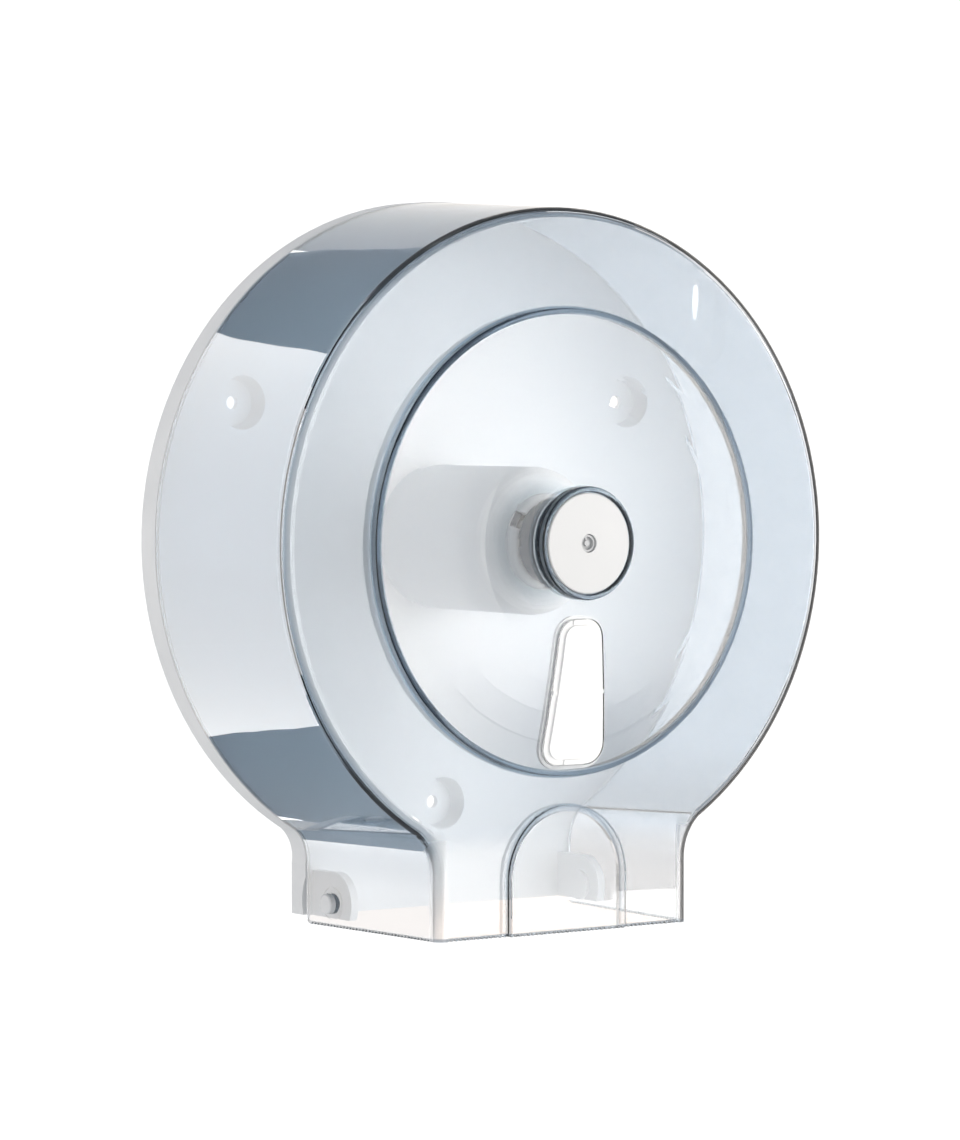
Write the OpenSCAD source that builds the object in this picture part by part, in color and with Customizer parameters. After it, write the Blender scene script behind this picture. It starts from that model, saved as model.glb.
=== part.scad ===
// Jumbo toilet roll dispenser: a clear round cover that hinges down from a wall plate with a roll hub.
// Each piece is drawn lying on its back, with X to the right, Y up and Z the depth out from the wall.
// stand() then turns it upright: X right, Y into the wall, Z up, origin on the hub axis at the wall.

/* [Cover drum] */
// Outer radius of the cover at its rear edge
cover_r = 130; // [125:1:136]
// Depth of the flat front ring, measured out from the wall
ring_depth = 91.5; // [88:0.5:100]
// Draft of all the cover's side walls, in degrees
draft_angle = 3.2; // [2.6:0.1:3.8]
// Wall thickness of the cover
wall = 2.4; // [2:0.1:2.8]
// Radius of the rounded front edge
edge_r = 4.5; // [4:0.25:5.5]

/* [Raised centre disc] */
// Radius of the raised disc in the cover's front
disc_r = 87.8; // [84:0.5:92]
// Height of the disc's rim above the flat ring
disc_step = 3.6; // [3:0.2:4.4]
// Rise of the disc's dome from its rim to its centre
dome_rise = 8; // [7:0.2:8.6]
// Rounding of the disc's rim
disc_edge_r = 1.2; // [0.6:0.2:1.6]

/* [Foot] */
// Distance from the drum's lowest point down to the foot's lower edge
foot_below = 16.9; // [15:0.5:22]
// Half width of the foot at its rear edge
foot_half = 63.2; // [60:0.5:66]
// Radius of the concave flares between the drum and the foot, at the rear edge
flare_r = 14.8; // [12:0.2:17]
// Radius of the arched panel on the foot's front
arch_r = 27.3; // [24:0.5:30]
// Height of the arch's centre above the foot's lower edge
arch_lift = 20.9; // [17:0.5:23]
// Height of the arched panel above the front ring
arch_rise = 1.75; // [1.2:0.1:2.2]
// Rounding of the foot's lower rear corners
foot_corner_r = 2.5; // [2:0.25:3]

/* [Tear teeth] */
// Pitch of the tear teeth along the foot's lower edge
tooth_pitch = 2; // [1.6:0.1:3]
// Height of the tear teeth
tooth_h = 1.1; // [0.8:0.1:1.4]
// Width of the flat tip of each tooth
tooth_flat = 0.3; // [0.2:0.05:0.5]

/* [Window] */
// Distance from the hub axis down to the window's top edge
window_top = 28.3; // [26:0.5:30]
// Distance from the hub axis down to the window's bottom edge
window_bottom = 83.6; // [78:0.5:84]
// Window width at the top
window_top_w = 20; // [18:0.5:24]
// Window width at the bottom
window_bottom_w = 28; // [25:0.5:32]
// Corner radius of the window
window_corner_r = 7.4; // [5:0.2:8]

/* [Lock] */
// Outer radius of the collar around the lock
collar_r = 21.3; // [20:0.25:23]
// Wall of the lock collar
collar_wall = 2.2; // [1.8:0.1:2.6]
// Height of the collar above the lock's seat
collar_rise = 4.3; // [3.8:0.1:5]
// Radius of the lock's threaded barrel
barrel_r = 12.9; // [12.2:0.1:13.6]
// Radius of the key hole in the lock's face
key_hole_r = 3.5; // [3:0.1:4]
// Radius of the lock core's shaft
core_r = 6.2; // [5.6:0.1:6.6]
// Wire radius of the lock spring
spring_wire_r = 0.5; // [0.4:0.05:0.55]
// Number of turns of the lock spring
spring_turns = 3; // [2:1:3]

/* [Hinge] */
// Height of the hinge axis above the foot's lower edge
hinge_lift = 8.7; // [8:0.1:9.5]
// Depth of the hinge axis, measured out from the wall
hinge_depth = 24.6; // [24:0.2:26]
// Radius of the hinge pins
pin_r = 3.9; // [3.4:0.1:4.2]
// Length of pin that stands proud of the foot's side
pin_proud = 2; // [1.6:0.2:3]
// Radius of the ears that carry the pins
ear_r = 12; // [11:0.25:13]
// Thickness of the ears
ear_t = 3.2; // [2.8:0.2:4]

/* [Back plate] */
// Depth of the back plate's tray, measured out from the wall
plate_depth = 9.8; // [9:0.2:11]
// Wall thickness of the back plate
plate_t = 2.5; // [2.2:0.1:2.8]
// Overhang of the plate's rim past the cover's rear edge
plate_lip = 0.2; // [0.1:0.05:0.4]
// Height of the plate's lower edge above the cover's lower edge
plate_lift = 3; // [2.5:0.25:4]
// Diameter of the circle of wall screw holes
bolt_pcd = 208; // [200:1:212]
// Radius of the wall screw holes
bolt_r = 2.5; // [2:0.25:3]
// Radius of the screw cups at the plate's face
cup_r = 10.2; // [9:0.2:11]

/* [Hub] */
// Outer radius of the hub that carries the roll
hub_r = 28; // [26:0.5:30]
// Rounding of the hub's front shoulder
hub_shoulder_r = 8; // [6:0.5:8]
// Wall thickness of the hub
hub_wall = 2.5; // [2.2:0.1:2.8]
// Outer radius of the lock socket on the hub's front
socket_r = 18.15; // [17.9:0.05:18.5]
// Height of the lock socket above the hub's front
socket_len = 4.6; // [4.3:0.1:5]
// Space between the lock socket's mouth and the lock's barrel
socket_space = 11.1; // [10.5:0.1:11.5]
// Depth of the three bayonet notches in the socket's mouth
notch_depth = 4; // [3.4:0.1:4.1]
// Width of the three bayonet notches
notch_w = 6.5; // [6.3:0.1:7]

/* [Hidden] */

$fn = 96;
// Overrun of every cut
over = 1;
// Gap between the plate's face and the cover's rear edge
seam_gap = 0.3;
// Radial clearance of pieces pushed together
fit_gap = 0.05;
// Radial clearance of the hinge pins in the cover
run_gap = 0.1;
// Clearance of pieces that turn or sit loosely
loose_gap = 0.3;
// Sideways clearance between the ears and the cover's inner walls
ear_gap = 0.4;
// Depth by which the flares bite into the drum, so that they meet at a true crease
flare_bite = 0.2;
// Segments in a quarter round, in the dome and in the arch
arc_n = 6;
dome_n = 8;
arch_n = 24;

slope = tan(draft_angle);
cover_back = plate_depth + seam_gap;
foot_drop = cover_r + foot_below;
hinge_drop = foot_drop - hinge_lift;
arch_drop = foot_drop - arch_lift;
flare_x = foot_half + flare_r;
flare_drop = sqrt(pow(cover_r + flare_r, 2) - pow(flare_x, 2));
// Share of the flare axis's distance at which the foot's block starts inside the drum
foot_top_share = 0.8;

// Lock stack, measured out from the wall
collar_in_r = collar_r - collar_wall;
seat_sink = 0.2;
lock_seat = dome_at(collar_r) - seat_sink;
collar_top = lock_seat + collar_rise;
face_chamfer = 0.4;
boss_drop = 2.7;
lock_boss_back = lock_seat - boss_drop;
face_sink = 0.3;
face_front = collar_top - face_sink;
face_t = 2.5;
nut_len = 16.4;
nut_rim = 3.6;
nut_r = barrel_r + nut_rim;
nut_back = lock_boss_back - nut_len;
nut_notch = 1.4;
nut_notches = 6;
barrel_len = 6.6;
barrel_back = lock_boss_back - barrel_len;
barrel_wall = 3.3;
chamber_r = barrel_r - barrel_wall;
chamber_front = face_front - face_t;
cap_t = 2;
cap_front = barrel_back + cap_t;
flange_t = 2.2;
flange_front = chamber_front - loose_gap;
flange_back = flange_front - flange_t;
flange_r = chamber_r - loose_gap;
key_r = key_hole_r - loose_gap;
key_sink = 0.9;
key_front = face_front - key_sink;
key_socket_wall = 0.7;
key_socket_depth = 1.6;
key_post_r = 1.1;
key_web = 0.8;
spring_clear = 0.3;
spring_back = cap_front + spring_clear;
spring_front = flange_back - spring_clear;
spring_r = (chamber_r + core_r) / 2;
spring_sides = 8;
spring_steps = 16;

// Cam with its three lugs behind the lip of the socket
socket_front = barrel_back - socket_space;
hub_front = socket_front - socket_len;
lip_t = 1.6;
lip_back = socket_front - lip_t;
lip_overlap = 3.4;
socket_wall = 3.15;
socket_bore_r = socket_r - socket_wall;
lip_r = socket_bore_r - lip_overlap;
lug_gap = 0.5;
lug_t = 1.7;
lug_w = 3;
lug_r = socket_bore_r - 2 * lug_gap + seam_gap;
lug_front = lip_back - lug_gap;
cam_back = lug_front - lug_t;
cam_t = 4.2;
cam_front = cam_back + cam_t;
cam_swing = 2.2;
cam_r = lip_r - cam_swing;
cam_web = 1.4;
spigot_r = 4.5;
spigot_flat = 3.5;
spigot_back = cam_back + cam_web;
cam_screw_r = 1.45;
cam_screw_len = 8;
cam_head_r = 3.2;
cam_head_t = 1.8;
lug_angles = [30, 150, 270];

// Lock socket on the hub
socket_skirt_t = 1.6;
socket_hole_r = socket_bore_r + socket_skirt_t;
socket_edge_r = 2.6;
snap_lip = 0.9;
snap_t = 1.5;
snap_slot = 3;
snap_turn = 60;

// Hub and its screws
hub_inner_r = hub_r - hub_wall;
locator_t = 1.2;
post_r = 4;
post_inset = 5.5;
post_at = hub_r - post_inset;
post_depth = 15;
post_back = plate_depth + locator_t;
post_angles = [90, 210, 330];
hub_screw_r = 1.75;
hub_screw_len = 12;
screw_hole_r = 2;
screw_head_r = 3.6;
screw_head_t = 2.4;
recess_w = 1;
recess_l = 3.6;
recess_depth = 1.2;

// Back plate details
plate_r = cover_r + plate_lip;
plate_foot_drop = foot_drop - plate_lift;
cup_taper = 1.5;
cup_wall = 2.1;
cup_floor = 2.4;
rib_t = 2;
rib_clear = 1;
hub_ring_space = 6;
hub_ring_r = hub_r + hub_ring_space;
rib_angles = [0, 60, 120, 180, 240, 300];
relief_gap = 0.4;
swing_r = norm([hinge_depth - cover_back, foot_drop - hinge_drop]) + relief_gap;
relief_at = foot_half - wall - 2 * ear_gap;

// Hinge details
ear_out = foot_at(hinge_depth + ear_r) - wall - ear_gap;
ear_root = 0.3;
pin_head_r = 5.9;
pin_head_t = 1.2;
pin_chamfer = 0.5;
pin_end = foot_at(hinge_depth) + pin_proud;
hinge_boss_r = 6.2;
hinge_boss_in = ear_out + loose_gap;

// Window insert details
insert_gap = 0.3;
insert_proud = 0.5;
insert_skin = 1.6;
insert_flange_w = 1.2;
insert_flange_t = 1.4;
insert_seat = 0.1;
// Lowered border of the insert, with the catches and ribs that cross it
border_w = 2.2;
border_drop = 0.9;
catch_w = 8;
catch_sink = 0.3;
rib_w = 1.5;

// Half sizes of the cover's walls at a depth from the wall
function drum_at(depth) = cover_r - (depth - cover_back) * slope;
function flare_at(depth) = flare_r + (depth - cover_back) * slope;
function foot_at(depth) = foot_half - (depth - cover_back) * slope;

// Depth of the domed disc's face at a radius from the hub axis
function dome_at(r) = ring_depth + disc_step + dome_rise * (1 - pow(r / disc_r, 2));

// Points of a round stretch from one angle to another
function arc(centre, r, from, to, n) =
    [for (i = [0:n]) let (a = from + (to - from) * i / n) centre + r * [cos(a), sin(a)]];

// Half section of the drum, inset by t from the outside
function drum_section(t, back) =
    let (
        centre_depth = ring_depth - edge_r,
        centre = [drum_at(centre_depth) - edge_r / cos(draft_angle), centre_depth]
    )
    concat(
        [[0, back], [drum_at(back) - t, back]],
        arc(centre, edge_r - t, draft_angle, 90, arc_n),
        [[0, ring_depth - t]]
    );

// Section cut away beside the foot, from the flare's axis to the foot's wall, inset by t
function flare_section(t, back) =
    let (
        centre_depth = ring_depth - edge_r,
        centre = [flare_at(centre_depth) + edge_r / cos(draft_angle) + flare_bite, centre_depth]
    )
    concat(
        [[0, back], [flare_at(back) + t + flare_bite, back]],
        arc(centre, edge_r - t, 180 - draft_angle, 90, arc_n),
        [[centre[0], ring_depth + over], [0, ring_depth + over]]
    );

// Half section of the raised disc, inset by t from the outside
function disc_section(t) =
    let (
        base = ring_depth - wall / 2 - t,
        round = max(disc_edge_r - t, 0),
        rim = disc_r - t,
        rim_depth = dome_at(disc_r) - t,
        rim_lean = atan(2 * dome_rise / disc_r)
    )
    concat(
        [[0, base], [rim, base]],
        round > 0
            ? arc([rim - round, rim_depth - round], round, 0, 90 - rim_lean, arc_n)
            : [[rim, dome_at(rim) - t]],
        [for (i = [1:dome_n]) let (r = (rim - round) * (1 - i / dome_n)) [r, dome_at(r) - t]]
    );

// Band of the dome between two heights above its face
function dome_band(low, high) =
    concat(
        [for (i = [0:dome_n]) let (r = disc_r * i / dome_n) [r, dome_at(r) + low]],
        [for (i = [dome_n:-1:0]) let (r = disc_r * i / dome_n) [r, dome_at(r) + high]]
    );

// Outline of the window, grown by g all round
function window_outline(g) =
    let (
        r = window_corner_r,
        low = [window_bottom_w / 2 - r, -window_bottom + r],
        high = [window_top_w / 2 - r, -window_top - r],
        lean = atan((low[0] - high[0]) / (high[1] - low[1]))
    )
    concat(
        arc(low, r + g, -90, lean, arc_n),
        arc(high, r + g, lean, 90, arc_n),
        arc([-high[0], high[1]], r + g, 90, 180 - lean, arc_n),
        arc([-low[0], low[1]], r + g, 180 - lean, 270, arc_n)
    );

// Row of tooth notches between two places, with their points h above an edge at zero
function notch_row(from, to) =
    let (
        count = floor((to - from) / tooth_pitch),
        start = (from + to - count * tooth_pitch) / 2,
        dip_share = tooth_flat / (2 * tooth_pitch),
        half = (tooth_pitch - tooth_flat) / 2 * (1 + dip_share)
    )
    concat(
        [[to, -over], [from, -over]],
        [
            for (i = [0:count - 1], k = [-1, 0, 1])
            [start + (i + 0.5) * tooth_pitch + k * half, k == 0 ? tooth_h : -tooth_h * dip_share]
        ]
    );

// Turns a lying piece upright
module stand() rotate([90, 0, 0]) children();

// Turns a profile of depth and height so that it runs across, along X
module across(length) rotate([0, -90, 0]) linear_extrude(height = length, center = true) children();

// Copies to the left and the right side
module both_sides() {
    children();
    mirror([1, 0, 0]) children();
}

// A round cut or post from one depth to another
module post(r, from, to) translate([0, 0, from]) cylinder(r = r, h = to - from);

// A round piece across the foot on the right side, at the hinge axis
module hinge_post(r, from, to)
    translate([from, -hinge_drop, hinge_depth]) rotate([0, 90, 0]) cylinder(r = r, h = to - from);

// Cross recess in a screw head whose face is at depth zero, facing the wall
module cross_recess() {
    for (a = [0, 90])
        rotate(a) translate([-recess_l / 2, -recess_w / 2, -over])
            cube([recess_l, recess_w, recess_depth + over]);
}

// Area of the foot before its sides are cut, down to a given drop
module foot_area(drop) {
    polygon([
        [-flare_x, -drop], [flare_x, -drop], [flare_x, -flare_drop],
        [flare_x * foot_top_share, -flare_drop * foot_top_share],
        [-flare_x * foot_top_share, -flare_drop * foot_top_share], [-flare_x, -flare_drop]
    ]);
}

// Area of the arched panel, inset by t, down to a given drop
module arch_area(t, drop) {
    polygon(concat(
        [[-arch_r + t, -drop], [arch_r - t, -drop]],
        arc([0, -arch_drop], arch_r - t, 0, 180, arch_n)
    ));
}

// The foot as a solid, inset by t, between two depths and down to a given drop
module foot_solid(t, back, front, drop) {
    difference() {
        translate([0, 0, back]) linear_extrude(height = front - back) foot_area(drop);
        both_sides() translate([flare_x, -flare_drop, 0]) mirror([1, 0, 0]) {
            rotate_extrude() polygon(flare_section(t, back - over));
            rotate([90, 0, 0]) linear_extrude(height = drop - flare_drop + over)
                polygon(flare_section(t, back - over));
        }
    }
}

// The whole cover as a solid, inset by t from its outside
module cover_solid(t) {
    back = t > 0 ? cover_back - over : cover_back;
    drop = t > 0 ? foot_drop + over : foot_drop;
    rotate_extrude() polygon(drum_section(t, back));
    rotate_extrude() polygon(disc_section(t));
    foot_solid(t, back, ring_depth - t, drop);
    translate([0, 0, ring_depth - wall / 2 - t])
        linear_extrude(height = arch_rise + wall / 2) arch_area(t, drop);
}

// Collar round the lock, with a fully rounded front
module lock_collar() {
    r = collar_wall / 2;
    rotate_extrude() polygon(concat(
        [[collar_in_r, lock_seat - boss_drop / 2], [collar_r, lock_seat - boss_drop / 2]],
        arc([collar_r - r, collar_top - r], r, 0, 180, 2 * arc_n)
    ));
}

// Tear teeth cut into the foot's front and side edges
module teeth_cuts() {
    side_from = cover_back + foot_corner_r;
    side_to = ring_depth - edge_r;
    front_half = foot_at(ring_depth) - edge_r;
    translate([0, -foot_drop, 0]) {
        across(2 * flare_x) polygon(notch_row(side_from, side_to));
        translate([0, 0, ring_depth - 2 * wall]) linear_extrude(height = 2 * wall + arch_rise + over)
            polygon(notch_row(-front_half, front_half));
    }
}

// Rounds the lower rear corners of the foot's side walls
module foot_corner_cut() {
    r = foot_corner_r;
    translate([0, -foot_drop, 0]) across(2 * flare_x)
        polygon(concat(
            [[cover_back - over, r], [cover_back - over, -over], [cover_back + r, -over]],
            arc([cover_back + r, r], r, 270, 180, arc_n)
        ));
}

module cover() {
    color("lightsteelblue", 0.45) stand() difference() {
        union() {
            difference() {
                cover_solid(0);
                cover_solid(wall);
            }
            lock_collar();
            post(collar_in_r, lock_boss_back, lock_seat);
            both_sides() hinge_post(hinge_boss_r, hinge_boss_in, foot_at(hinge_depth) - wall / 2);
        }
        post(collar_in_r, lock_seat, collar_top + over);
        post(barrel_r + fit_gap, lock_boss_back - over, collar_top);
        translate([0, 0, ring_depth]) linear_extrude(height = disc_step + dome_rise)
            polygon(window_outline(0));
        both_sides() hinge_post(pin_r + run_gap, ear_out, flare_x);
        teeth_cuts();
        foot_corner_cut();
    }
}

// Areas of the catches at the insert's top and bottom, and of the ribs at its sides
module insert_tab_areas() {
    mid = (window_top + window_bottom) / 2;
    mid_half = (window_top_w + window_bottom_w) / 4;
    for (y = [-window_top, -window_bottom])
        translate([-catch_w / 2, y - border_w]) square([catch_w, 2 * border_w]);
    for (s = [-1, 1])
        translate([s * mid_half - border_w, -mid - rib_w / 2]) square([2 * border_w, rib_w]);
}

// Slice of the dome between two heights above its face, with the child's outline
module dome_slice(low, high) {
    intersection() {
        rotate_extrude() polygon(dome_band(low, high));
        translate([0, 0, ring_depth - 2 * wall])
            linear_extrude(height = disc_step + dome_rise + 3 * wall) children();
    }
}

module window_insert() {
    seat = -wall - insert_seat;
    border = insert_proud - border_drop;
    inside = -insert_gap - insert_skin;
    color("white") stand() {
        difference() {
            union() {
                dome_slice(seat - insert_flange_t / 2, border) polygon(window_outline(-insert_gap));
                dome_slice(seat, insert_proud) polygon(window_outline(-insert_gap - border_w));
                dome_slice(seat, insert_proud - catch_sink) intersection() {
                    polygon(window_outline(-insert_gap));
                    insert_tab_areas();
                }
            }
            dome_slice(seat - insert_flange_t - over, border - insert_skin) polygon(window_outline(inside));
        }
        dome_slice(seat - insert_flange_t, seat) difference() {
            intersection() {
                polygon(window_outline(insert_flange_w));
                circle(r = disc_r - wall - loose_gap);
            }
            polygon(window_outline(inside));
        }
    }
}

module lock_housing() {
    face_r = collar_in_r - loose_gap;
    color("white") stand() rotate_extrude() polygon([
        [chamber_r, barrel_back], [barrel_r, barrel_back], [barrel_r, lock_seat],
        [face_r, lock_seat], [face_r, face_front - face_chamfer],
        [face_r - face_chamfer, face_front], [key_hole_r, face_front],
        [key_hole_r, chamber_front], [chamber_r, chamber_front]
    ]);
}

// Sleeve nut that clamps the lock housing and hides its rear
module lock_nut() {
    color("slategray") stand() difference() {
        post(nut_r, nut_back, lock_boss_back);
        post(barrel_r + fit_gap, nut_back - over, lock_boss_back + over);
        for (i = [0:nut_notches - 1]) rotate(i * 360 / nut_notches)
            translate([nut_r - nut_notch, -nut_notch, nut_back - over])
                cube([2 * nut_notch, 2 * nut_notch, nut_notch + over]);
    }
}

module lock_end_cap() {
    color("whitesmoke") stand() difference() {
        post(chamber_r - fit_gap, barrel_back, cap_front);
        post(core_r + run_gap, barrel_back - over, cap_front + over);
    }
}

// Compression spring that presses the core's flange to the front
module lock_spring() {
    ring = spring_turns * spring_steps;
    rise = spring_front - spring_back - 2 * spring_wire_r;
    points = [
        for (i = [0:ring], j = [0:spring_sides - 1])
        let (
            turn = 360 * i / spring_steps,
            side = 360 * j / spring_sides,
            r = spring_r + spring_wire_r * cos(side)
        )
        [r * cos(turn), r * sin(turn), spring_back + spring_wire_r * (1 + sin(side)) + rise * i / ring]
    ];
    walls = [
        for (i = [0:ring - 1], j = [0:spring_sides - 1])
        let (
            a = i * spring_sides + j,
            b = i * spring_sides + (j + 1) % spring_sides
        )
        each [[a, b, a + spring_sides], [b, b + spring_sides, a + spring_sides]]
    ];
    start = [for (j = [1:spring_sides - 2]) [0, j + 1, j]];
    last = ring * spring_sides;
    end = [for (j = [1:spring_sides - 2]) [last, last + j, last + j + 1]];
    color("silver") stand() polyhedron(points = points, faces = concat(walls, start, end));
}

module lock_core() {
    color("lightgray") stand() difference() {
        union() {
            post(key_r, flange_front - flange_t / 2, key_front);
            post(flange_r, flange_back, flange_front);
            post(core_r, cam_front, flange_back + flange_t / 2);
            intersection() {
                post(spigot_r, spigot_back, cam_front + over);
                translate([-spigot_flat, -spigot_r, spigot_back - over])
                    cube([2 * spigot_flat, 2 * spigot_r, cam_t + 2 * over]);
            }
        }
        difference() {
            post(key_r - key_socket_wall, key_front - key_socket_depth, key_front + over);
            post(key_post_r, key_front - key_socket_depth - over, key_front - face_sink);
            translate([-key_web / 2, 0, key_front - key_socket_depth - over])
                cube([key_web, key_r, key_socket_depth]);
        }
        post(cam_screw_r + fit_gap, spigot_back - over, cam_back + cam_screw_len + over);
    }
}

module lock_cam() {
    color("gainsboro") stand() difference() {
        union() {
            post(cam_r, cam_back, cam_front);
            for (a = lug_angles) rotate(a) intersection() {
                translate([0, -lug_w / 2, cam_back]) cube([lug_r, lug_w, lug_t]);
                post(lug_r, cam_back - over, cam_front + over);
            }
        }
        intersection() {
            post(spigot_r + fit_gap, spigot_back, cam_front + over);
            translate([-spigot_flat - fit_gap, -spigot_r - over, spigot_back - over])
                cube([2 * (spigot_flat + fit_gap), 2 * (spigot_r + over), cam_t + 2 * over]);
        }
        post(screw_hole_r, cam_back - over, cam_front);
    }
}

module lock_cam_screw() {
    color("silver") stand() difference() {
        union() {
            post(cam_head_r, cam_back - cam_head_t, cam_back);
            post(cam_screw_r, cam_back - cam_head_t / 2, cam_back + cam_screw_len);
        }
        translate([0, 0, cam_back - cam_head_t]) cross_recess();
    }
}

module lock_socket() {
    skirt_r = socket_hole_r - fit_gap;
    snap_front = hub_front - hub_wall - loose_gap;
    snap_back = snap_front - snap_t;
    r = socket_edge_r;
    color("white") stand() difference() {
        rotate_extrude() polygon(concat(
            [[socket_bore_r, snap_back], [skirt_r, snap_back], [skirt_r + snap_lip, snap_front]],
            [[skirt_r, snap_front], [skirt_r, hub_front], [socket_r, hub_front]],
            arc([socket_r - r, socket_front - r], r, 0, 90, arc_n),
            [[lip_r, socket_front], [lip_r, lip_back], [socket_bore_r, lip_back]]
        ));
        for (a = lug_angles) rotate(a) {
            translate([cam_r, -notch_w / 2, socket_front - notch_depth])
                cube([socket_r, notch_w, notch_depth + over]);
            rotate(snap_turn) translate([0, -snap_slot / 2, snap_back - over])
                cube([socket_r, snap_slot, hub_front - snap_back]);
        }
    }
}

module hub() {
    r = hub_shoulder_r;
    color("white") stand() difference() {
        union() {
            rotate_extrude() polygon(concat(
                [[hub_inner_r, plate_depth], [hub_r, plate_depth]],
                arc([hub_r - r, hub_front - r], r, 0, 90, arc_n),
                [[socket_hole_r, hub_front], [socket_hole_r, hub_front - hub_wall]],
                arc([hub_r - r, hub_front - r], r - hub_wall, 90, 0, arc_n)
            ));
            for (a = post_angles) rotate(a) translate([post_at, 0, 0])
                post(post_r, post_back, post_back + post_depth);
        }
        for (a = post_angles) rotate(a) translate([post_at, 0, 0])
            post(hub_screw_r + fit_gap, post_back - over, post_back + hub_screw_len);
    }
}

module hub_screws() {
    seat = plate_depth - plate_t;
    color("silver") stand() for (a = post_angles) rotate(a) translate([post_at, 0, 0]) difference() {
        union() {
            post(screw_head_r, seat - screw_head_t, seat);
            post(hub_screw_r, seat - screw_head_t / 2, seat + hub_screw_len);
        }
        translate([0, 0, seat - screw_head_t]) cross_recess();
    }
}

// Outline of the back plate, inset by t
module plate_area(t) {
    circle(r = plate_r - t);
    difference() {
        foot_area(plate_foot_drop - t);
        both_sides() {
            translate([flare_x, -flare_drop])
                circle(r = flare_r - plate_lip + t + flare_bite);
            translate([foot_half + plate_lip - t, -foot_drop - over])
                square([flare_x, foot_drop - flare_drop + over]);
        }
    }
}

// Ear on the right side, cut level with the plate's lower edge
module ear_solid() {
    root = plate_depth - plate_t / 2;
    intersection() {
        union() {
            hinge_post(ear_r, ear_out - ear_t, ear_out);
            translate([ear_out - ear_t, -hinge_drop - ear_r, root])
                cube([ear_t, 2 * ear_r - ear_root, hinge_depth - root]);
        }
        translate([0, -plate_foot_drop, 0]) cube([flare_x, flare_x, hinge_depth + 2 * ear_r]);
    }
}

module screw_cup_cuts() {
    for (a = lug_angles) rotate(a) translate([bolt_pcd / 2, 0, 0]) {
        translate([0, 0, cup_floor])
            cylinder(r1 = cup_r - cup_taper, r2 = cup_r, h = plate_depth - cup_floor + fit_gap);
        post(bolt_r, -over, plate_depth);
    }
}

module back_plate() {
    panel_back = plate_depth - plate_t;
    color("white") stand() difference() {
        union() {
            difference() {
                linear_extrude(height = plate_depth) plate_area(0);
                translate([0, 0, -over]) linear_extrude(height = panel_back + over) difference() {
                    plate_area(plate_t);
                    for (a = lug_angles) rotate(a) translate([bolt_pcd / 2, 0]) circle(r = cup_r + cup_wall);
                }
                for (a = lug_angles) rotate(a) translate([bolt_pcd / 2, 0, -over])
                    cylinder(r = bolt_r, h = plate_depth);
            }
            translate([0, 0, rib_clear]) linear_extrude(height = panel_back) difference() {
                union() {
                    circle(r = hub_ring_r + rib_t);
                    for (a = rib_angles)
                        rotate(a) translate([0, -rib_t / 2]) square([plate_r - plate_t / 2, rib_t]);
                }
                circle(r = hub_ring_r);
            }
            post(hub_inner_r - loose_gap, panel_back, plate_depth + locator_t);
            both_sides() ear_solid();
        }
        screw_cup_cuts();
        for (a = post_angles) rotate(a) translate([post_at, 0, 0])
            post(screw_hole_r, panel_back - over, plate_depth + locator_t + over);
        both_sides() {
            hinge_post(swing_r, relief_at, flare_x);
            hinge_post(pin_r + fit_gap, ear_out - ear_t - over, ear_out + over);
        }
    }
}

// Hinge pin on the right side, with its head inside the ear
module hinge_pin() {
    ear_in = ear_out - ear_t;
    stand() translate([0, -hinge_drop, hinge_depth]) rotate([0, 90, 0]) rotate_extrude() polygon([
        [0, ear_in - pin_head_t], [pin_head_r, ear_in - pin_head_t], [pin_head_r, ear_in],
        [pin_r, ear_in], [pin_r, pin_end - pin_chamfer], [pin_r - pin_chamfer, pin_end], [0, pin_end]
    ]);
}

module hinge_pin_right() color("white") hinge_pin();

module hinge_pin_left() color("white") mirror([1, 0, 0]) hinge_pin();

back_plate();
hub();
hub_screws();
lock_socket();
hinge_pin_left();
hinge_pin_right();
cover();
window_insert();
lock_housing();
lock_nut();
lock_end_cap();
lock_spring();
lock_core();
lock_cam();
lock_cam_screw();
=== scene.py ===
import math

import bmesh
import bpy
from mathutils import Matrix, Vector


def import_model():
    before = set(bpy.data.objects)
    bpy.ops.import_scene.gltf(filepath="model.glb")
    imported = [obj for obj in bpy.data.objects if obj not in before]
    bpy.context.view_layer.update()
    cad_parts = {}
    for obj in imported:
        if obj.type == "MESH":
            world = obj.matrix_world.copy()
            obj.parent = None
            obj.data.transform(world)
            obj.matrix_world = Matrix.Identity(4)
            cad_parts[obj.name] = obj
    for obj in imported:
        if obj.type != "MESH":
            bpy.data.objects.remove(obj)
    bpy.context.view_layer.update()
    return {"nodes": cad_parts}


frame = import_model()
nodes = frame["nodes"]
scene = bpy.context.scene


# Camera, fitted to circles and corners of the dispenser

CAMERA_PLACE = (-1.0189, -1.4742, 0.0576)
CAMERA_LOOK = (0.57797, 0.81515, -0.03851)
CAMERA_ROLL = math.radians(0.05)
CAMERA_LENS = 144.58
CAMERA_SENSOR = 36.0
CAMERA_SHIFT = (-0.0015, -0.0042)
CAMERA_CLIP = (0.05, 50.0)


def camera():
    data = bpy.data.cameras.new("camera")
    data.sensor_fit = "VERTICAL"
    data.sensor_height = CAMERA_SENSOR
    data.lens = CAMERA_LENS
    data.shift_x, data.shift_y = CAMERA_SHIFT
    data.clip_start, data.clip_end = CAMERA_CLIP
    cam = bpy.data.objects.new("camera", data)
    scene.collection.objects.link(cam)
    look = Vector(CAMERA_LOOK).normalized()
    right = look.cross(Vector((0, 0, 1))).normalized()
    up = right.cross(look)
    roll = Matrix.Rotation(CAMERA_ROLL, 3, look)
    m = Matrix((roll @ right, roll @ up, -look)).transposed().to_4x4()
    m.translation = Vector(CAMERA_PLACE)
    cam.matrix_world = m
    scene.camera = cam


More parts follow.
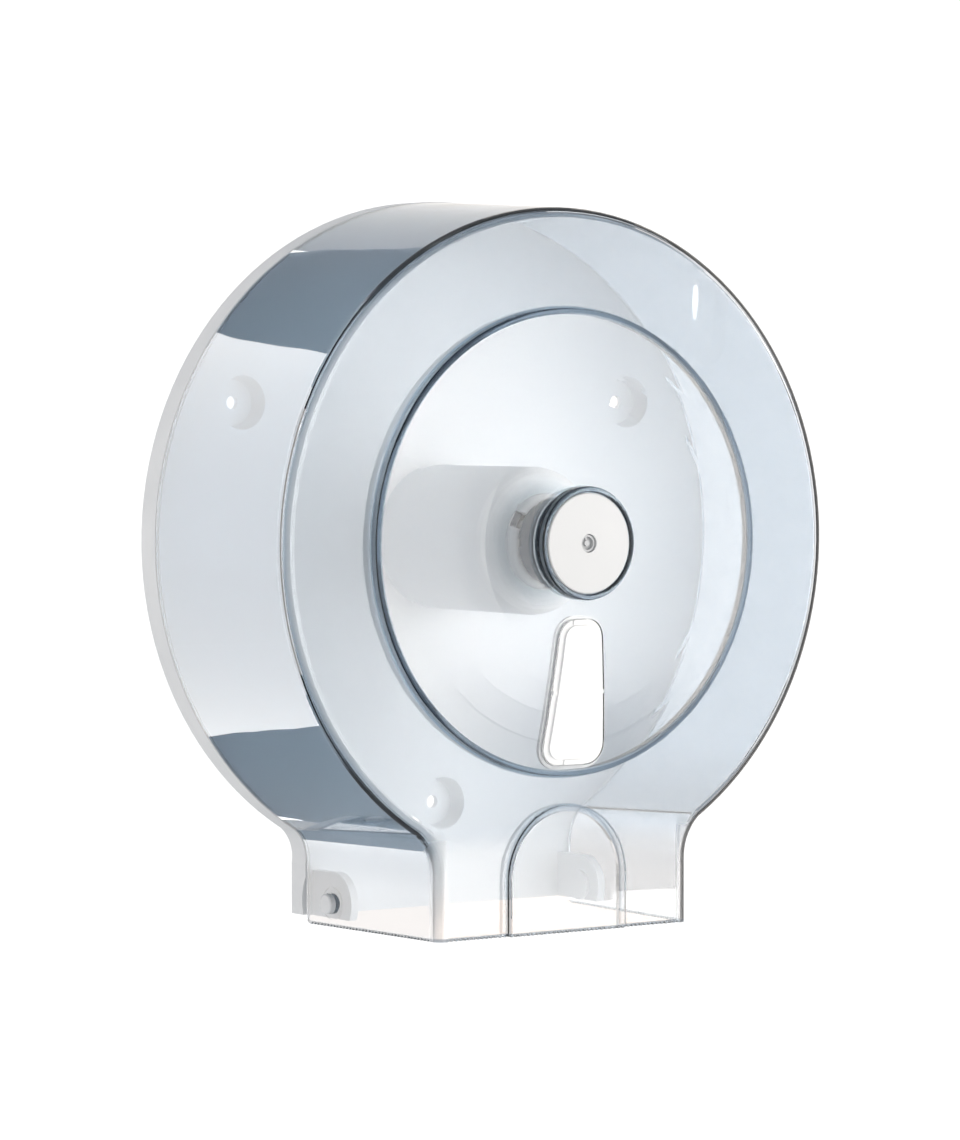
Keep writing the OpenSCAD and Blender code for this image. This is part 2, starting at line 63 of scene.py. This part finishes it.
# Shader nodes: t is the node tree, and a value is an output, a number or an RGB colour

def feed(t, node, values):
    """Link or set a node's inputs, named in values."""
    for name, value in values.items():
        put(t, node.inputs[name], value)


def put(t, socket, value):
    """Link a socket to an output, or set it."""
    if isinstance(value, bpy.types.NodeSocket):
        t.links.new(value, socket)
    elif isinstance(value, tuple):
        socket.default_value = (*value, 1)
    else:
        socket.default_value = value


def calc(t, kind, *values):
    node = t.nodes.new("ShaderNodeMath")
    node.operation = kind
    for socket, value in zip(node.inputs, values):
        put(t, socket, value)
    return node.outputs[0]


def product(t, first, *others):
    for other in others:
        first = calc(t, "MULTIPLY", first, other)
    return first


def distance(t, first, *others):
    """Length of the vector that has these values as its components."""
    total = calc(t, "MULTIPLY", first, first)
    for other in others:
        total = calc(t, "ADD", total, calc(t, "MULTIPLY", other, other))
    return calc(t, "SQRT", total)


def span(t, value, low, high, to_low=0.0, to_high=1.0, shape="LINEAR"):
    """to_low at low, to_high at high, held beyond them; low may be the larger."""
    node = t.nodes.new("ShaderNodeMapRange")
    node.interpolation_type = shape
    feed(t, node, {
        "Value": value, "From Min": low, "From Max": high, "To Min": to_low, "To Max": to_high,
    })
    return node.outputs["Result"]


def step(t, value, low, high):
    """0 at low, 1 at high, smooth between; low may be the larger."""
    return span(t, value, low, high, shape="SMOOTHSTEP")


def near(t, value, at, half, soft):
    """1 within half of a value, falling to 0 over soft."""
    gap = calc(t, "ABSOLUTE", calc(t, "SUBTRACT", value, at))
    return step(t, gap, half + soft, half)


def layer(t, below, mask, colour, blend="MIX"):
    """A colour over the one below, where the mask is 1."""
    node = t.nodes.new("ShaderNodeMix")
    node.data_type = "RGBA"
    node.blend_type = blend
    feed(t, node, {"A": below, "B": colour, "Factor": mask})
    return node.outputs["Result"]


def axes(t, space="Object"):
    """The x, y and z outputs of a texture coordinate."""
    co = t.nodes.new("ShaderNodeTexCoord")
    parts = t.nodes.new("ShaderNodeSeparateXYZ")
    t.links.new(co.outputs[space], parts.inputs[0])
    return tuple(parts.outputs)


def place(t):
    """Place on the part: x, depth out from the wall, and z. The lock's axis is at x 0, z 0."""
    x, y, z = axes(t)
    return x, calc(t, "MULTIPLY", y, -1.0), z


def noise(t, scale, detail=3.0):
    co = t.nodes.new("ShaderNodeTexCoord")
    node = t.nodes.new("ShaderNodeTexNoise")
    feed(t, node, {"Vector": co.outputs["Object"], "Scale": scale, "Detail": detail})
    return node.outputs["Fac"]


NOISE_MIDDLE = (0.3, 0.7)


def mottle(t, scale, low=0.0, high=1.0):
    """Noise that fills low to high."""
    return span(t, noise(t, scale), *NOISE_MIDDLE, low, high)


def bump(t, height, depth, strength, before=None):
    """Normal bent by a height field of this depth, on top of the bump before."""
    node = t.nodes.new("ShaderNodeBump")
    feed(t, node, {"Distance": depth, "Strength": strength, "Height": height})
    if before:
        t.links.new(before, node.inputs["Normal"])
    return node.outputs["Normal"]


def cleared_tree(holder, output):
    """Empty node tree of a material or world, with its output node."""
    holder.use_nodes = True
    t = holder.node_tree
    t.nodes.clear()
    return t, t.nodes.new(output)


def principled(name):
    m = bpy.data.materials.new(name)
    t, out = cleared_tree(m, "ShaderNodeOutputMaterial")
    p = t.nodes.new("ShaderNodeBsdfPrincipled")
    t.links.new(p.outputs[0], out.inputs["Surface"])
    return m, t, p, out


# White and grey plastic, and steel

PLASTIC_IOR = 1.5
GLOSSY = 0.25
MATT = 0.05
STEEL_DARK = 0.8


def white_plastic(name, low, high, rough, gloss=GLOSSY, shades=None):
    """Moulded plastic between two colours. Each mask that shades gives multiplies in its tint."""
    m, t, p, _ = principled(name)
    colour = layer(t, low, mottle(t, scale=18.0), high)
    for mask, tint in shades(t) if shades else ():
        colour = layer(t, colour, mask, tint, "MULTIPLY")
    waves = bump(t, noise(t, scale=30.0, detail=1.0), depth=0.0004, strength=0.25)
    grain = bump(t, noise(t, scale=900.0, detail=2.0), depth=0.00005, strength=0.35, before=waves)
    feed(t, p, {
        "Base Color": colour,
        "Roughness": mottle(t, scale=60.0, low=rough - 0.05, high=rough + 0.06),
        "IOR": PLASTIC_IOR,
        "Specular IOR Level": gloss,
        "Normal": grain,
    })
    return m


def steel(name, colour, rough):
    m, t, p, _ = principled(name)
    dark = tuple(c * STEEL_DARK for c in colour)
    feed(t, p, {
        "Metallic": 1.0,
        "Base Color": layer(t, dark, mottle(t, scale=400.0), colour),
        "Roughness": mottle(t, scale=900.0, low=rough - 0.08, high=rough + 0.1),
        "Normal": bump(t, noise(t, scale=1500.0, detail=2.0), depth=0.00004, strength=0.4),
    })
    return m


# Zones in metres: depths out from the wall, radii from the lock's axis, x and z. A pair says
# where a mask starts and where it is full
HUB_SHOULDER = (0.058, 0.074)
HUB_ROUND_SOCKET = (0.0288, 0.0180)
# Tint of the painted shade on the hub's front round the socket
HUB_PAINTED_SHADE_TINT = (0.58, 0.67, 0.72)
SOCKET_WALL = (0.070, 0.074)
# Tints of painted shade on the socket: cool on its wall, darker in its mouth and on its notch
# floors
SOCKET_PAINTED_SHADE_TINT = (0.96, 0.99, 1.0)
SOCKET_MOUTH = (0.0153, 0.0150)
MOUTH_PAINTED_SHADE_TINT = (0.55, 0.58, 0.62)
NOTCH_RADIUS = 0.0165
NOTCH_FLOOR = (0.0800, 0.0790)
NOTCH_PAINTED_SHADE_TINT = (0.30, 0.33, 0.37)
LOCK_BARREL = (0.1022, 0.1018)
BARREL_TINT = (0.50, 0.54, 0.58)


def hub_painted_shade(t):
    """Painted shade on the hub's front: darker round the socket, where the lock shades it."""
    x, depth, z = place(t)
    front = step(t, depth, *HUB_SHOULDER)
    return [(product(t, front, step(t, distance(t, x, z), *HUB_ROUND_SOCKET)), HUB_PAINTED_SHADE_TINT)]


def socket_painted_shade(t):
    """Painted shade: the ring is cooler than the plate where it stands out of the hub, and darker
    in its mouth and on the floors of its notches.
    """
    x, depth, z = place(t)
    r = distance(t, x, z)
    notches = near(t, r, NOTCH_RADIUS, half=0.0012, soft=0.0003)
    return [
        (step(t, depth, *SOCKET_WALL), SOCKET_PAINTED_SHADE_TINT),
        (step(t, r, *SOCKET_MOUTH), MOUTH_PAINTED_SHADE_TINT),
        (product(t, notches, step(t, depth, *NOTCH_FLOOR)), NOTCH_PAINTED_SHADE_TINT),
    ]


def barrel_shades(t):
    """The lock's barrel is grey behind its white face."""
    _, depth, _ = place(t)
    return [(step(t, depth, *LOCK_BARREL), BARREL_TINT)]


# Smoke blue plastic of the cover

# Zones as above. The cover is a round drum with a foot below it
DRUM = (-0.118, -0.106)
FOOT = (-0.102, -0.112)
FRONT = (0.0885, 0.0905)
BEHIND_FRONT = (0.0895, 0.0865)
FOOT_TO_DRUM = (-0.130, -0.104)
FOOT_SIDE_SHARE = 0.5
FRONT_EDGE_DEPTH = 0.0885
DISC_RIM_RADIUS = 0.0872
ARCH_CENTRE_Z = -0.126
ARCH_RADIUS = 0.0271
COLLAR = (0.0985, 0.1010)
COLLAR_RADIUS = 0.0201
TEETH = (-0.1455, -0.1459)
REAR_EDGE = (0.0106, 0.0102)
CORNER_X = 0.0578
CORNER = (0.0850, 0.0870)

SMOKE_CLEAR = (0.925, 0.925, 0.925)
# Painted shade: these tints darken the clear walls where they look dark edge on, and grey the rear
# edge; the side walls' shade is half as deep on the foot
SMOKE_PAINTED_SHADES = {
    "side": (0.34, 0.43, 0.52),
    "front_edge": (0.55, 0.63, 0.70),
    "disc_rim": (0.29, 0.37, 0.45),
    "arch": (0.55, 0.62, 0.68),
    "collar": (0.60, 0.67, 0.72),
    "teeth": (0.42, 0.48, 0.54),
    "rear": (0.78, 0.81, 0.84),
}
SMOKE_IOR = 1.57
SMOKE_FROST = 0.32
REAR_CLEARNESS = 0.15
# Absorbed per metre in red, green and blue: (1 - colour) * density of the volume
SMOKE_ABSORPTION = (74.0, 66.0, 58.0)
SMOKE_DENSITY = 160.0


def smoke_zones(t):
    """Masks of the cover's zones. The corner is for frost alone, and has no tint."""
    x, depth, z = place(t)
    r = distance(t, x, z)
    front = step(t, depth, *FRONT)
    side_share = span(t, z, *FOOT_TO_DRUM, to_low=FOOT_SIDE_SHARE)
    front_edge = near(t, depth, FRONT_EDGE_DEPTH, half=0.0012, soft=0.0015)
    collar = near(t, r, COLLAR_RADIUS, half=0.0011, soft=0.0004)
    corner = near(t, calc(t, "ABSOLUTE", x), CORNER_X, half=0.0030, soft=0.0015)
    # The arch runs straight down from its centre
    over_centre = calc(t, "MAXIMUM", calc(t, "SUBTRACT", z, ARCH_CENTRE_Z), 0.0)
    arch_r = distance(t, x, over_centre)
    return {
        "side": product(t, step(t, depth, *BEHIND_FRONT), side_share),
        "front_edge": product(t, front_edge, step(t, z, *DRUM)),
        "disc_rim": product(t, near(t, r, DISC_RIM_RADIUS, half=0.0011, soft=0.0006), front),
        "arch": product(t, near(t, arch_r, ARCH_RADIUS, half=0.0004, soft=0.0004), front),
        "collar": product(t, collar, step(t, depth, *COLLAR)),
        "teeth": step(t, z, *TEETH),
        "rear": step(t, depth, *REAR_EDGE),
        "corner": product(t, corner, step(t, depth, *CORNER), step(t, z, *FOOT)),
    }


def smoke_plastic(name):
    """Clear smoke plastic with painted shade: its tone is deeper where its walls are seen edge on
    or along their length, on the side walls, the front edge, the disc's rim, the arch, the collar
    and the teeth, and greyer at the rear edge.
    The foot's corners, the teeth and the rear edge are frosted."""
    m, t, p, out = principled(name)
    zones = smoke_zones(t)
    colour = SMOKE_CLEAR
    for zone, tint in SMOKE_PAINTED_SHADES.items():
        colour = layer(t, colour, zones[zone], tint)
    edges = calc(t, "MAXIMUM", zones["rear"], zones["teeth"])
    frost = product(t, calc(t, "MAXIMUM", zones["corner"], edges), SMOKE_FROST)
    feed(t, p, {
        "Base Color": colour,
        "Transmission Weight": span(t, zones["rear"], 0.0, 1.0, to_low=1.0, to_high=REAR_CLEARNESS),
        "IOR": SMOKE_IOR,
        "Roughness": calc(t, "ADD", mottle(t, scale=40.0, high=0.03), frost),
        "Normal": bump(t, noise(t, scale=22.0, detail=1.0), depth=0.0006, strength=0.12),
    })
    volume = t.nodes.new("ShaderNodeVolumeAbsorption")
    feed(t, volume, {
        "Density": SMOKE_DENSITY,
        "Color": tuple(1 - k / SMOKE_DENSITY for k in SMOKE_ABSORPTION),
    })
    t.links.new(volume.outputs[0], out.inputs["Volume"])
    return m


# What each piece is made of

PLATE_WHITES = ((0.80, 0.81, 0.82), (0.86, 0.865, 0.87))

moulded = white_plastic("moulded_white", *PLATE_WHITES, rough=0.55, gloss=MATT)
insert_white = white_plastic(
    "insert_white", (0.90, 0.905, 0.91), (0.93, 0.93, 0.935), rough=0.3)
lock_white = white_plastic(
    "lock_white", (0.70, 0.705, 0.71), (0.73, 0.735, 0.74), rough=0.45, shades=barrel_shades)
pale_grey = white_plastic("pale_grey", (0.55, 0.56, 0.57), (0.62, 0.63, 0.64), rough=0.4)
hub_white = white_plastic(
    "hub_white", (0.84, 0.86, 0.88), (0.89, 0.905, 0.92), rough=0.55, gloss=MATT,
    shades=hub_painted_shade)
socket_white = white_plastic(
    "socket_white", *PLATE_WHITES, rough=0.55, gloss=MATT, shades=socket_painted_shade)
cap_grey = white_plastic(
    "cap_grey", (0.42, 0.45, 0.48), (0.46, 0.49, 0.52), rough=0.5, gloss=MATT)
smoke_grey = white_plastic(
    "smoke_grey", (0.13, 0.155, 0.185), (0.16, 0.185, 0.215), rough=0.55, gloss=MATT)
zinc = steel("zinc_steel", (0.68, 0.69, 0.71), rough=0.3)
wire = steel("spring_wire", (0.6, 0.6, 0.62), rough=0.25)
smoke = smoke_plastic("smoke_blue")

for name, material in {
    "back_plate": moulded, "hub": hub_white, "lock_socket": socket_white,
    "hinge_pin_left": moulded, "hinge_pin_right": moulded, "hub_screws": zinc,
    "cover": smoke, "window_insert": insert_white, "lock_housing": lock_white,
    "lock_nut": smoke_grey, "lock_end_cap": cap_grey, "lock_spring": wire,
    "lock_core": pale_grey, "lock_cam": pale_grey, "lock_cam_screw": zinc,
}.items():
    slots = nodes[name].data.materials
    slots.clear()
    slots.append(material)


# Stage, in metres. Azimuths run from +X, and the wall lies towards +Y

FLOOR_RADIUS = 1.1
FLOOR_Z = -0.45
SCREEN_STEPS = 24
NEAR_RADIUS = 3.0
FAR_RADIUS = 3.1

# Soft edges of the inside light, each from dark to lit: its azimuths and its heights
INSIDE_SIDES = ((math.radians(-96), math.radians(-78)), (math.radians(-16), math.radians(-34)))
INSIDE_ENDS = ((1.80, 1.10), (-1.32, -0.60))

# Soft flag in that light, where the cover mirrors it beside the lock
FLAG_AZIMUTH = math.radians(-62.5)
FLAG_CENTRE = (FAR_RADIUS * math.cos(FLAG_AZIMUTH), FAR_RADIUS * math.sin(FLAG_AZIMUTH), -0.10)
FLAG_HALF = (0.27, 0.27, 0.38)
FLAG_EDGE = (0.35, 1.35)
FLAG_SHARE = 0.45

# Heights between which the light behind goes from its low share to full
LOW_FADE = (-0.44, -0.34)
LOW_SHARE = 0.52


def low_fade(t):
    """Share of the light behind: less below the foot."""
    _, _, z = axes(t)
    return span(t, z, *LOW_FADE, to_low=LOW_SHARE)


def window(t, value, edges):
    """1 between two soft edges."""
    return product(t, *[step(t, value, *edge) for edge in edges])


def inside_share(t):
    """Share of the inside light: less at its edges and behind the flag."""
    x, y, z = axes(t)
    azimuth = calc(t, "ARCTAN2", y, x)
    inside = product(t, window(t, azimuth, INSIDE_SIDES), window(t, z, INSIDE_ENDS))
    offsets = [
        calc(t, "DIVIDE", calc(t, "SUBTRACT", value, centre), half)
        for value, centre, half in zip((x, y, z), FLAG_CENTRE, FLAG_HALF)
    ]
    past_flag = step(t, distance(t, *offsets), *FLAG_EDGE)
    return product(t, inside, span(t, past_flag, 0.0, 1.0, to_low=FLAG_SHARE))


def emission(name, strength, colour, share):
    m = bpy.data.materials.new(name)
    t, out = cleared_tree(m, "ShaderNodeOutputMaterial")
    e = t.nodes.new("ShaderNodeEmission")
    feed(t, e, {"Color": colour, "Strength": strength})
    if share:
        t.links.new(product(t, share(t), strength), e.inputs["Strength"])
    t.links.new(e.outputs[0], out.inputs["Surface"])
    return m


def screen(name, strength, rays, azimuths, rises, radius, colour, share=None):
    """A curved screen round the object that only one kind of ray sees: diffuse, glossy or
    transmission. Its rises are the tangents of the elevation, and share makes the output that
    scales its strength."""
    verts, faces = [], []
    for i in range(SCREEN_STEPS + 1):
        a = math.radians(azimuths[0] + (azimuths[1] - azimuths[0]) * i / SCREEN_STEPS)
        for rise in rises:
            verts.append((radius * math.cos(a), radius * math.sin(a), radius * rise))
    for i in range(SCREEN_STEPS):
        faces.append((2 * i, 2 * i + 2, 2 * i + 3, 2 * i + 1))
    me = bpy.data.meshes.new(name)
    me.from_pydata(verts, [], faces)
    me.materials.append(emission(name, strength, colour, share))
    o = bpy.data.objects.new(name, me)
    scene.collection.objects.link(o)
    o.visible_camera = False
    o.visible_shadow = False
    o.visible_diffuse = rays == "diffuse"
    o.visible_transmission = rays == "transmission"
    o.visible_glossy = rays == "glossy"


def floor():
    bm = bmesh.new()
    bmesh.ops.create_circle(bm, cap_ends=True, segments=96, radius=FLOOR_RADIUS)
    me = bpy.data.meshes.new("floor")
    bm.to_mesh(me)
    bm.free()
    o = bpy.data.objects.new("floor", me)
    o.location = (0, 0, FLOOR_Z)
    scene.collection.objects.link(o)
    m, t, p, _ = principled("floor_paint")
    feed(t, p, {
        "Base Color": layer(t, (0.93, 0.93, 0.93), mottle(t, scale=3.0), (0.95, 0.95, 0.95)),
        "Roughness": 0.9,
        "Specular IOR Level": 0.1,
    })
    me.materials.append(m)
    o.visible_glossy = False


def world():
    """White round the horizon, grey overhead and below, and dimmer towards -X."""
    w = bpy.data.worlds.new("studio")
    scene.world = w
    t, out = cleared_tree(w, "ShaderNodeOutputWorld")
    bg = t.nodes.new("ShaderNodeBackground")
    x, _, z = axes(t, "Generated")
    ramp = t.nodes.new("ShaderNodeValToRGB")
    white, grey = ramp.color_ramp.elements
    white.position, white.color = 0.47, (1.15, 1.15, 1.15, 1)
    grey.position, grey.color = 0.56, (0.48, 0.5, 0.53, 1)
    feed(t, ramp, {"Fac": calc(t, "ABSOLUTE", z)})
    dimmed = span(t, x, low=-0.5, high=0.1, to_low=0.72)
    feed(t, bg, {"Color": ramp.outputs["Color"], "Strength": dimmed})
    t.links.new(bg.outputs[0], out.inputs["Surface"])


camera()
world()
floor()

# Soft boxes to the right in front: one for the outside, one for what lies behind the cover
screen("soft_front", 3.4, "diffuse", azimuths=(-80, -32), rises=(-0.45, 0.45),
       radius=NEAR_RADIUS, colour=(1.0, 0.96, 0.91))
screen("soft_inside", 11.4, "transmission", azimuths=(-96, -16), rises=(-0.44, 0.6),
       radius=FAR_RADIUS, colour=(1.0, 0.95, 0.90), share=inside_share)

# Round the back: what the side wall mirrors, weaker where the drum's top mirrors it, and what
# shows through the cover
BACK_RISES = (-0.715, 0.715)
BACK_WHITE = (1.0, 0.97, 0.94)
screen("soft_back", 6.0, "glossy", azimuths=(76, 175), rises=BACK_RISES,
       radius=NEAR_RADIUS, colour=BACK_WHITE)
screen("soft_over", 1.1, "glossy", azimuths=(5, 76), rises=BACK_RISES,
       radius=NEAR_RADIUS, colour=BACK_WHITE)
screen("soft_behind", 2.1, "transmission", azimuths=(5, 175), rises=BACK_RISES,
       radius=FAR_RADIUS, colour=(1.0, 0.88, 0.80), share=low_fade)

scene.view_settings.view_transform = "Standard"
scene.view_settings.look = "None"
